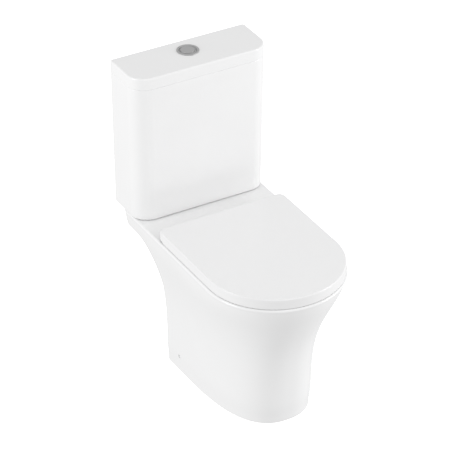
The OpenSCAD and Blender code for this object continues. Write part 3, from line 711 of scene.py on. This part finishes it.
class TOILET_OT_trapway(bpy.types.Operator):
    """Builds the trapway and the outlet spigot behind the pan"""

    bl_idname = "toilet.trapway"
    bl_label = "Trapway"

    def execute(self, context):
        trap = Shell().tube(trap_path(90), SPIGOT_RADIUS - 0.002, OUTLET_BORE)
        edge = 0.0015
        profile = [(OUTLET_BORE, SPIGOT_START), (SPIGOT_RADIUS - edge, SPIGOT_START),
                   (SPIGOT_RADIUS, SPIGOT_START + edge), (SPIGOT_RADIUS, SPIGOT_END - 0.004),
                   (SPIGOT_RADIUS - 0.003, SPIGOT_END), (OUTLET_BORE, SPIGOT_END)]
        trap.rings([wall_circle(r, 0, WALL - d, OUTLET_Z, 96) for r, d in profile], loop=True)
        bowl = Shell().rings([bowl_ring(u, 0.002) for u in np.linspace(0, 0.985, 30)])
        carve(trap.make("toilet_trapway", HOME, "glaze", ["pan"]), bowl)
        return {"FINISHED"}


# ---- cistern ----
TAPER, FRONT_TAPER, CISTERN_BACK_CORNER, CISTERN_WALL = 0.0055, 0.002, 0.008, 0.010
CISTERN_FLOOR, RECESS_TOP = 0.445, 0.432
CISTERN_DROP = 0.0012
FIXING_HALF, FIXING_Z, FIXING_RADIUS = 0.120, 0.700, 0.0035


def cistern_ring(z, inset, corner, back=None):
    """Outline of the cistern at height z, which narrows a little to its bottom."""
    t = 1 - np.clip((z - CISTERN_LOW.z) / (CISTERN_HIGH.z - CISTERN_LOW.z), 0, 1)
    flat = box_outline(COVER_HIGH.x - TAPER * t - inset, inset if back is None else back,
                       WALL - COVER_LOW.y - FRONT_TAPER * t - inset, max(corner - inset, 0.006),
                       max(CISTERN_BACK_CORNER - inset, 0.003))
    return place(flat, z)


class TOILET_OT_cistern(bpy.types.Operator):
    """Builds the cistern: an open box of glazed ceramic with a recess under its floor"""

    bl_idname = "toilet.cistern"
    bl_label = "Cistern"

    def execute(self, context):
        corner, wall = context.scene.toilet_sizes.cistern_corner, CISTERN_WALL
        low, high, edge, inner, lip = CISTERN_LOW.z - CISTERN_DROP, CISTERN_HIGH.z, 0.003, 0.012, 0.002
        cove = CISTERN_FLOOR + inner
        rings = [cistern_ring(CISTERN_FLOOR, inset, corner) for inset in (0.06, wall + inner + 0.004)]
        rings += [cistern_ring(z, wall + inset, corner) for inset, z in
                  quarter((inner, CISTERN_FLOOR), (0, cove), 7)]
        rings += [cistern_ring(z, wall, corner) for z in np.linspace(cove, high - lip, 12)[1:]]
        rings += [cistern_ring(high, wall - lip, corner), cistern_ring(high, lip + 0.0004, corner)]
        rings += [cistern_ring(z, lip - out, corner) for out, z in quarter((0, high), (lip, high - lip), 5)]
        rings += [cistern_ring(z, 0, corner) for z in np.linspace(high - lip, low + edge, 30)[1:]]
        rings += [cistern_ring(z, inset, corner) for inset, z in
                  quarter((0, low + edge), (edge, low), 7, "up")[1:]]
        rings += [cistern_ring(low, 0.0075, corner), cistern_ring(low, 0.020, corner, 0.008)]
        rings += [cistern_ring(z, 0.0205, corner, 0.0085) for z in (low + 0.001, RECESS_TOP)]
        rings += [cistern_ring(RECESS_TOP, 0.060, corner, 0.050)]
        cistern = Shell().rings(rings).make("cistern_shell", HOME, "glaze", ["cistern"])
        holes = Shell()
        for x in (-FIXING_HALF, FIXING_HALF):
            holes.rings([wall_circle(FIXING_RADIUS, x, y, FIXING_Z, 32) for y in (WALL - 0.02, WALL + 0.01)])
        carve(cistern, holes)
        return {"FINISHED"}


class TOILET_OT_cistern_cover(bpy.types.Operator):
    """Builds the cistern's lid, with its lip and the hole for the button"""

    bl_idname = "toilet.cistern_cover"
    bl_label = "Cistern lid"

    def execute(self, context):
        sizes = context.scene.toilet_sizes
        edge, corner = sizes.cover_edge, sizes.cistern_corner
        top, skirt, lip_low, under = COVER_HIGH.z, CISTERN_HIGH.z, COVER_LOW.z, COVER_HIGH.z - 0.010
        half, front = COVER_HIGH.x, WALL - COVER_LOW.y
        hole = 0.0246

        def ring(inset, z):
            flat = box_outline(half - inset, inset, front - inset, max(corner - inset, 0.006),
                               max(CISTERN_BACK_CORNER - inset, 0.003))
            return place(flat, z)

        def round_ring(radius, z):
            flat = np.stack([BUTTON.x + radius * np.cos(OVAL_TURN),
                             WALL - BUTTON.y - radius * np.sin(OVAL_TURN)], 1)
            return place(flat, z)

        rings = [round_ring(hole, under), round_ring(hole, top - 0.001), round_ring(hole + 0.001, top)]
        rings += [mix(round_ring(hole + 0.004, top), ring(edge + 0.0015, top), s)
                  for s in np.linspace(0, 1, 14)]
        rings += [ring(edge + 0.0003, top)]
        rings += [ring(edge - out, z) for out, z in quarter((0, top), (edge, top - edge), 9)]
        rings += [ring(0, z) for z in np.linspace(top - edge - 0.0004, skirt + 0.0016, 5)]
        rings += [ring(inset, z) for inset, z in quarter((0, skirt + 0.0012), (0.0012, skirt), 4, "up")]
        rings += [ring(0.0115, skirt), ring(0.012, skirt - 0.0005), ring(0.0122, lip_low + 0.001),
                  ring(0.013, lip_low), ring(0.017, lip_low), ring(0.018, lip_low + 0.001)]
        rings += [ring(0.018, z) for z in (skirt, under - 0.004)] + [ring(0.022, under)]
        rings += [mix(ring(0.022, under), round_ring(hole, under), s) for s in (0.3, 0.6, 0.9)]
        Shell().rings(rings, loop=True).make("cistern_cover", "cistern_lid", "glaze", ["cistern_lid"])
        return {"FINISHED"}


# ---- flush button ----
class TOILET_OT_buttons(bpy.types.Operator):
    """Builds the button's rim and its two buttons, one inside the other"""

    bl_idname = "toilet.buttons"
    bl_label = "Flush buttons"

    def execute(self, context):
        bevel = context.scene.toilet_sizes.button_bevel
        outer, top, deck = RIM_HIGH.x, RIM_HIGH.z, COVER_HIGH.z
        collar, bore = 0.0240, 0.0226
        land = outer - bevel
        profile = [(collar, RIM_LOW.z), (collar, deck - 0.0005), (outer - 0.0004, deck),
                   (outer, deck + 0.0004), (outer, top - 0.0014), (outer - 0.0004, top - 0.0008),
                   (land, top), (land - 0.0008, top), (bore + 0.0009, top - 0.0008),
                   (bore, top - 0.0018), (bore, RIM_LOW.z)]
        Shell().lathe(profile[::-1], BUTTON.x, BUTTON.y, 160, loop=True).make(
            "button_bezel", "cistern_lid", "satin_chrome", ["button_rim"], sharp=28)
        self.crescent()
        self.inner()
        return {"FINISHED"}

    def crescent(self):
        """Full flush: a disc whose round hole sits off its middle, sunk a little below the rim."""
        count, low, high = 144, FULL_LOW.z, FULL_HIGH.z - 0.0012
        hole_y = middle((HALF_LOW, HALF_HIGH)).y
        outer, inner = 0.0221, HALF_HIGH.x + 0.00035
        brink = circle(inner + 0.0003, BUTTON.x, hole_y, high, count)
        brow = circle(outer - 0.0006, BUTTON.x, BUTTON.y, high - 0.0001, count)
        rings = [circle(inner, BUTTON.x, hole_y, z, count) for z in (low, high - 0.0004)]
        rings += [mix(brink, brow, s) for s in (0, 0.35, 0.7, 1)]
        rings += [circle(outer, BUTTON.x, BUTTON.y, z, count) for z in (high - 0.0007, low)]
        Shell().rings(rings, loop=True).make("full_flush_crescent", "full_flush_button", "satin_chrome",
                                             ["full_flush_button"], sharp=28)

    def inner(self):
        """Half flush: a thin disc with a shallow dish in its top, on a stem that runs inside the springs."""
        centre = middle((HALF_LOW, HALF_HIGH))
        radius, high, low = HALF_HIGH.x, HALF_HIGH.z, HALF_LOW.z
        dish = [(radius * s, high - 0.0004 * (1 - s * s)) for s in np.linspace(0.04, 0.93, 14)]
        edge = [(radius - 0.0008 + out, z) for out, z in quarter((0, high), (0.0008, high - 0.0008), 6)]
        under = high - 0.0019
        Shell().lathe(dish + edge + [(radius, under)], centre.x, centre.y, 144).lathe(
            [(0.0022, under + 0.0001), (0.0022, low)], BUTTON.x, BUTTON.y, 24).make(
            "half_flush_disc", "half_flush_button", "satin_chrome", ["half_flush_button"], sharp=40)


# ---- seat ----
SEAT_NOSE, SEAT_BACK, SEAT_CORNER = 0.480, WALL - SEAT_HIGH.y, 0.018
SEAT_FRONT = WALL - SEAT_LOW.y
HINGE_HALF = 0.0775
LUG, EYE, GAP = 0.012, 0.006, 0.0006
LUG_RADIUS, EYE_RADIUS, POST_RADIUS, POST_DISC = 0.0085, 0.0075, 0.016, 0.0036
RING_BACK, RING_INSET = 0.252, 0.0075
SEAT_OPENING = (0.105, 0.303, 0.593, 0.440)
RING_DEPTH = 0.016
SKIRT_DROP, LID_SKIN = 0.0008, 0.004
BACK_LIFT, BACK_REACH, NOTCH_HALF, NOTCH_REACH = 0.006, 0.022, 0.0265, 0.014


def seat_outline(inset, back):
    """Outline of the seat: straight sides, round back corners and half an ellipse at the front."""
    corner = max(SEAT_CORNER - inset, 0.004)
    return outline(SEAT_HIGH.x - inset, back, SEAT_FRONT - inset, SEAT_NOSE, corner)


def lugs(shell, x, low, high):
    """Adds two hinge lugs, x to each side: a barrel round the pin, and a web between two (y, z) corners."""
    web = LUG / 2 - 0.0003
    for spot in (-x, x):
        shell.barrel(LUG_RADIUS, spot - LUG / 2, spot + LUG / 2, PIN.y, PIN.z)
        shell.block((spot - web, *low), (spot + web, *high))


class TOILET_OT_seat_ring(bpy.types.Operator):
    """Builds the ring that is sat on, with its hinge lugs and rubber feet"""

    bl_idname = "toilet.seat_ring"
    bl_label = "Seat ring"

    def execute(self, context):
        low, high = RING_TOP - RING_DEPTH, RING_TOP
        outer, inner = seat_outline(RING_INSET, RING_BACK), oval(*SEAT_OPENING)
        turn = np.linspace(-math.pi, math.pi, 57)[:-1]
        across = 0.5 - 0.5 * power(np.cos(turn), 0.32)
        upper = power(np.sin(turn), 0.5)
        lower = power(np.sin(turn), 0.22)
        height = mix(low, high, 0.5) + (high - low) / 2 * np.where(np.sin(turn) > 0, upper, lower)
        rings = [place(mix(outer, inner, s), z) for s, z in zip(across, height)]
        shell = Shell().rings(rings[::-1], loop=True)
        lugs(shell, HINGE_HALF - EYE - GAP - LUG / 2, (WALL - RING_BACK - 0.006, low + 0.0035),
             (PIN.y, low + 0.0125))
        shell.make("seat_ring_moulding", "seat_ring", "seat_plastic", ["seat_ring"])
        bumpers("ring_bumpers", "seat_ring", "ring_buffers", 0.007)
        return {"FINISHED"}


def bumpers(name, body, node, radius):
    """Rubber feet that stand for a node of four buffers: short domed lathes at its four corners."""
    low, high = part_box(node)
    shell = Shell()
    points = np.array([v.co for v in frame["nodes"][node].data.vertices])
    profile = [(radius * 0.3, high.z), (radius - 0.0005, high.z), (radius, high.z - 0.0005),
               (radius - 0.0002, low.z + 0.0012), (radius - 0.0014, low.z + 0.0002), (radius * 0.3, low.z)]
    centred = points[:, :2] - [0, (low.y + high.y) / 2]
    for corner in ((-1, -1), (-1, 1), (1, -1), (1, 1)):
        near = points[(np.sign(centred) == corner).all(1)]
        x, y = (near.min(0) + near.max(0))[:2] / 2
        shell.lathe(profile, x, y, 40)
    shell.make(name, body, NODE_SLOTS[node], [node])


class TOILET_OT_seat_lid(bpy.types.Operator):
    """Builds the wrap-over seat lid, with its hinge lugs and buffers"""

    bl_idname = "toilet.seat_lid"
    bl_label = "Seat lid"

    def execute(self, context):
        sizes = context.scene.toilet_sizes
        edge, crown, skin = sizes.seat_edge, sizes.seat_crown, LID_SKIN
        low, high, hem = SEAT_LOW.z - SKIRT_DROP, SEAT_HIGH.z, 0.0008
        centre = np.array([0.0, mix(SEAT_BACK, SEAT_FRONT, 0.5)])

        def shrunk(flat, s):
            return centre + (flat - centre) * s

        def bottom(flat):
            """Height of the skirt's edge: raised at the back, and cut away above the hinges."""
            x, d = flat.T
            back = ease((SEAT_BACK + BACK_REACH - d) / 0.006)
            notch = ease((NOTCH_HALF - np.abs(np.abs(x) - HINGE_HALF)) / 0.003)
            notch *= ease((SEAT_BACK + NOTCH_REACH - d) / 0.004)
            return low + BACK_LIFT * back + (high - skin - hem - low - BACK_LIFT) * notch

        def rise(s):
            return high - crown * ease((s - 0.15) / 0.85) ** 1.5

        outside, inside = seat_outline(0, SEAT_BACK), seat_outline(skin, SEAT_BACK + skin)
        rim = seat_outline(edge, SEAT_BACK + edge)
        rings = [place(shrunk(rim, s), rise(s)) for s in np.linspace(0.04, 1, 26)]
        brow = high - crown
        rings += [place(seat_outline(edge - out, SEAT_BACK + edge - out), z) for out, z in
                  quarter((0, brow), (edge, brow - edge), 9)[1:]]
        foot, top, ceiling = bottom(outside), brow - edge, brow - skin
        skirt, lining = np.minimum(foot + hem, top), np.minimum(foot + hem, ceiling)
        rings += [place(outside, mix(top, skirt, s)) for s in np.linspace(0, 1, 9)[1:]]
        rings += [place(seat_outline(inset, SEAT_BACK + inset), np.minimum(foot, top))
                  for inset in (hem, skin - hem)]
        rings += [place(inside, mix(lining, ceiling, s)) for s in np.linspace(0, 1, 6)]
        rings += [place(shrunk(inside, s), ceiling) for s in (0.98, 0.7, 0.4, 0.1)]
        shell = Shell().rings(rings)
        lugs(shell, HINGE_HALF + EYE + GAP + LUG / 2, (PIN.y - 0.008, PIN.z),
             (PIN.y + 0.008, ceiling + 0.0005))
        shell.make("seat_cover", "seat_lid", "seat_plastic", ["seat_lid"], sharp=40)
        bumpers("lid_bumpers", "seat_lid", "lid_buffers", 0.006)
        return {"FINISHED"}


class TOILET_OT_hinges(bpy.types.Operator):
    """Builds the hinge posts under the seat"""

    bl_idname = "toilet.hinges"
    bl_label = "Hinge posts"

    def execute(self, context):
        shell = Shell()
        low, edge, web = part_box("hinge_bases")[0].z, 0.0014, EYE - 0.0004
        top, land = low + POST_DISC, POST_RADIUS - edge
        profile = [(0.002, top), (land, top)]
        profile += [(land + out, z) for out, z in quarter((0, top), (edge, top - edge), 5)]
        profile += [(POST_RADIUS, low), (0.002, low)]
        for x in (-HINGE_HALF, HINGE_HALF):
            shell.lathe(profile, x, PIN.y - 0.013, 72)
            shell.barrel(EYE_RADIUS, x - EYE, x + EYE, PIN.y, PIN.z, edge=0.0008)
            shell.block((x - web, PIN.y - 0.0165, top - 0.001), (x + web, PIN.y - 0.001, PIN.z + 0.003),
                        edge=0.0012)
        shell.make("hinge_posts", HOME, "satin_chrome", ["hinge_bases"])
        return {"FINISHED"}


class TOILET_OT_small_parts(bpy.types.Operator):
    """Builds the side caps and the sealing ring between cistern and pan"""

    bl_idname = "toilet.small_parts"
    bl_label = "Small parts"

    def execute(self, context):
        low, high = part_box("side_caps")
        centre, radius = middle((low, high)), (high.z - low.z) / 2
        dome = [(radius * math.sin(t), high.x - PLUG_DEPTH - PLUG_DOME * (1 - math.cos(t)))
                for t in np.linspace(0, math.pi / 2, 7)[1:]]
        caps = Shell()
        for side in (-1, 1):
            turn = side * full_turn(48)
            caps.rings([np.stack([np.full(48, side * x), centre.y + r * np.cos(turn),
                                  centre.z + r * np.sin(turn)], 1)
                        for r, x in dome + [(radius, high.x - PLUG_LENGTH)]])
        caps.make("side_plugs", HOME, "seat_plastic", ["side_caps"])
        low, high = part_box("doughnut_washer")
        outer, inner, turn = high.x, 0.030, full_turn(40)
        reach = (outer + inner) / 2 + (outer - inner) / 2 * power(np.cos(turn), 0.55)
        height = (low.z + high.z) / 2 + (high.z - low.z) / 2 * power(np.sin(turn), 0.55)
        Shell().lathe(list(zip(reach, height))[::-1], 0, BUTTON.y, 96, loop=True).make(
            "doughnut_seal", HOME, "black_rubber", ["doughnut_washer"])
        return {"FINISHED"}


class TOILET_OT_finishes(bpy.types.Operator):
    """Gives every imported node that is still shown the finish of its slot"""

    bl_idname = "toilet.finishes"
    bl_label = "Finishes"

    def execute(self, context):
        for name, node in frame["nodes"].items():
            if not node.hide_render:
                node.data.materials.clear()
                node.data.materials.append(finish(NODE_SLOTS[name]))
        return {"FINISHED"}


# ---- studio ----
PANELS = (("left_panel", -90, 18, 43.0), ("right_panel", 55, 18, 55.0), ("top_panel", 20, 80, 2.0))
PANEL_DISTANCE, PANEL_SIZE = 3.6, 1.8


def looking(azimuth, elevation):
    """Direction of a view from azimuth (0 in front, and round to the right) and from elevation above."""
    return Vector((-math.sin(azimuth) * math.cos(elevation), math.cos(azimuth) * math.cos(elevation),
                   -math.sin(elevation)))


def face_towards(thing, spot):
    """Turns a light or camera so that it looks at a spot, with up kept upright."""
    thing.rotation_euler = (Vector(spot) - thing.location).to_track_quat("-Z", "Y").to_euler()


class TOILET_OT_studio(bpy.types.Operator):
    """Sets up the floor, the soft light and the camera"""

    bl_idname = "toilet.studio"
    bl_label = "Studio"

    def execute(self, context):
        studio, scene = context.scene.toilet_studio, context.scene
        self.floor(studio)
        world = bpy.data.worlds.new("Studio")
        scene.world = world
        world.use_nodes = True
        background = world.node_tree.nodes["Background"]
        background.inputs["Color"].default_value = (1.0, 1.0, 1.0, 1.0)
        background.inputs["Strength"].default_value = studio.sky
        centre = middle(CAD_BOX)
        for name, azimuth, elevation, watts in PANELS:
            light = bpy.data.lights.new(name, "AREA")
            light.shape, light.size, light.energy = "DISK", PANEL_SIZE, watts
            lamp = bpy.data.objects.new(name, light)
            scene.collection.objects.link(lamp)
            lamp.location = centre - looking(math.radians(azimuth), math.radians(elevation)) * PANEL_DISTANCE
            face_towards(lamp, centre)
        self.camera(studio, centre)
        scene.view_settings.view_transform = "Standard"
        scene.view_settings.look = "None"
        return {"FINISHED"}

    def floor(self, studio):
        """A wide pale floor that reaches past every view. It is only seen: the even light comes from
        below as well, so the floor itself lights nothing."""
        reach = 30.0
        mesh = bpy.data.meshes.new("floor")
        mesh.from_pydata([(-reach, -reach, 0), (reach, -reach, 0), (reach, reach, 0), (-reach, reach, 0)], [],
                         [(0, 1, 2, 3)])
        recipe = Recipe("floor")
        recipe.set(Base_Color=studio.floor, Roughness=0.9, Specular_IOR_Level=0.0,
                   Emission_Color=(1.0, 1.0, 1.0), Emission_Strength=studio.floor_glow)
        mesh.materials.append(recipe.material)
        floor = bpy.data.objects.new("floor", mesh)
        bpy.context.scene.collection.objects.link(floor)
        floor.visible_diffuse = False
        floor.visible_glossy = False

    def camera(self, studio, centre):
        """A long lens that looks down at the toilet from its front left."""
        ahead = looking(studio.azimuth, studio.elevation)
        right = Vector((math.cos(studio.azimuth), math.sin(studio.azimuth), 0.0))
        up = right.cross(ahead)
        data = bpy.data.cameras.new("Camera")
        data.lens, data.sensor_width, data.clip_end = studio.lens, 36.0, 60.0
        camera = bpy.data.objects.new("Camera", data)
        bpy.context.scene.collection.objects.link(camera)
        aim = centre + right * studio.aim_right + up * studio.aim_up
        camera.matrix_world = Matrix.Translation(aim - ahead * studio.distance) @ Matrix(
            (right, up, -ahead)).transposed().to_4x4()
        bpy.context.scene.camera = camera


class TOILET_PT_panel(bpy.types.Panel):
    """Lists the sizes, finishes and steps of the toilet"""

    bl_idname = "TOILET_PT_panel"
    bl_label = "Close Coupled Toilet"
    bl_space_type = "VIEW_3D"
    bl_region_type = "UI"
    bl_category = "Toilet"

    def draw(self, context):
        for group in (context.scene.toilet_sizes, context.scene.toilet_finish, context.scene.toilet_studio):
            box = self.layout.box()
            for name in group.__annotations__:
                box.prop(group, name)
        for step in STEPS:
            self.layout.operator(step.bl_idname)


STEPS = (
    TOILET_OT_pan, TOILET_OT_trapway, TOILET_OT_cistern, TOILET_OT_cistern_cover, TOILET_OT_buttons,
    TOILET_OT_seat_ring, TOILET_OT_seat_lid, TOILET_OT_hinges, TOILET_OT_small_parts, TOILET_OT_finishes,
    TOILET_OT_studio,
)
CLASSES = (ToiletSizes, ToiletFinish, ToiletStudio, *STEPS, TOILET_PT_panel)


def register():
    """Registers the classes and hangs the settings on the scene."""
    for cls in CLASSES:
        bpy.utils.register_class(cls)
    bpy.types.Scene.toilet_sizes = bpy.props.PointerProperty(type=ToiletSizes)
    bpy.types.Scene.toilet_finish = bpy.props.PointerProperty(type=ToiletFinish)
    bpy.types.Scene.toilet_studio = bpy.props.PointerProperty(type=ToiletStudio)


def unregister():
    """Takes the settings and classes away again."""
    for name in ("toilet_sizes", "toilet_finish", "toilet_studio"):
        delattr(bpy.types.Scene, name)
    for cls in reversed(CLASSES):
        bpy.utils.unregister_class(cls)


def main():
    """Builds everything in order."""
    register()
    for step in STEPS:
        group, name = step.bl_idname.split(".")
        getattr(getattr(bpy.ops, group), name)()


if __name__ == "__main__":
    main()
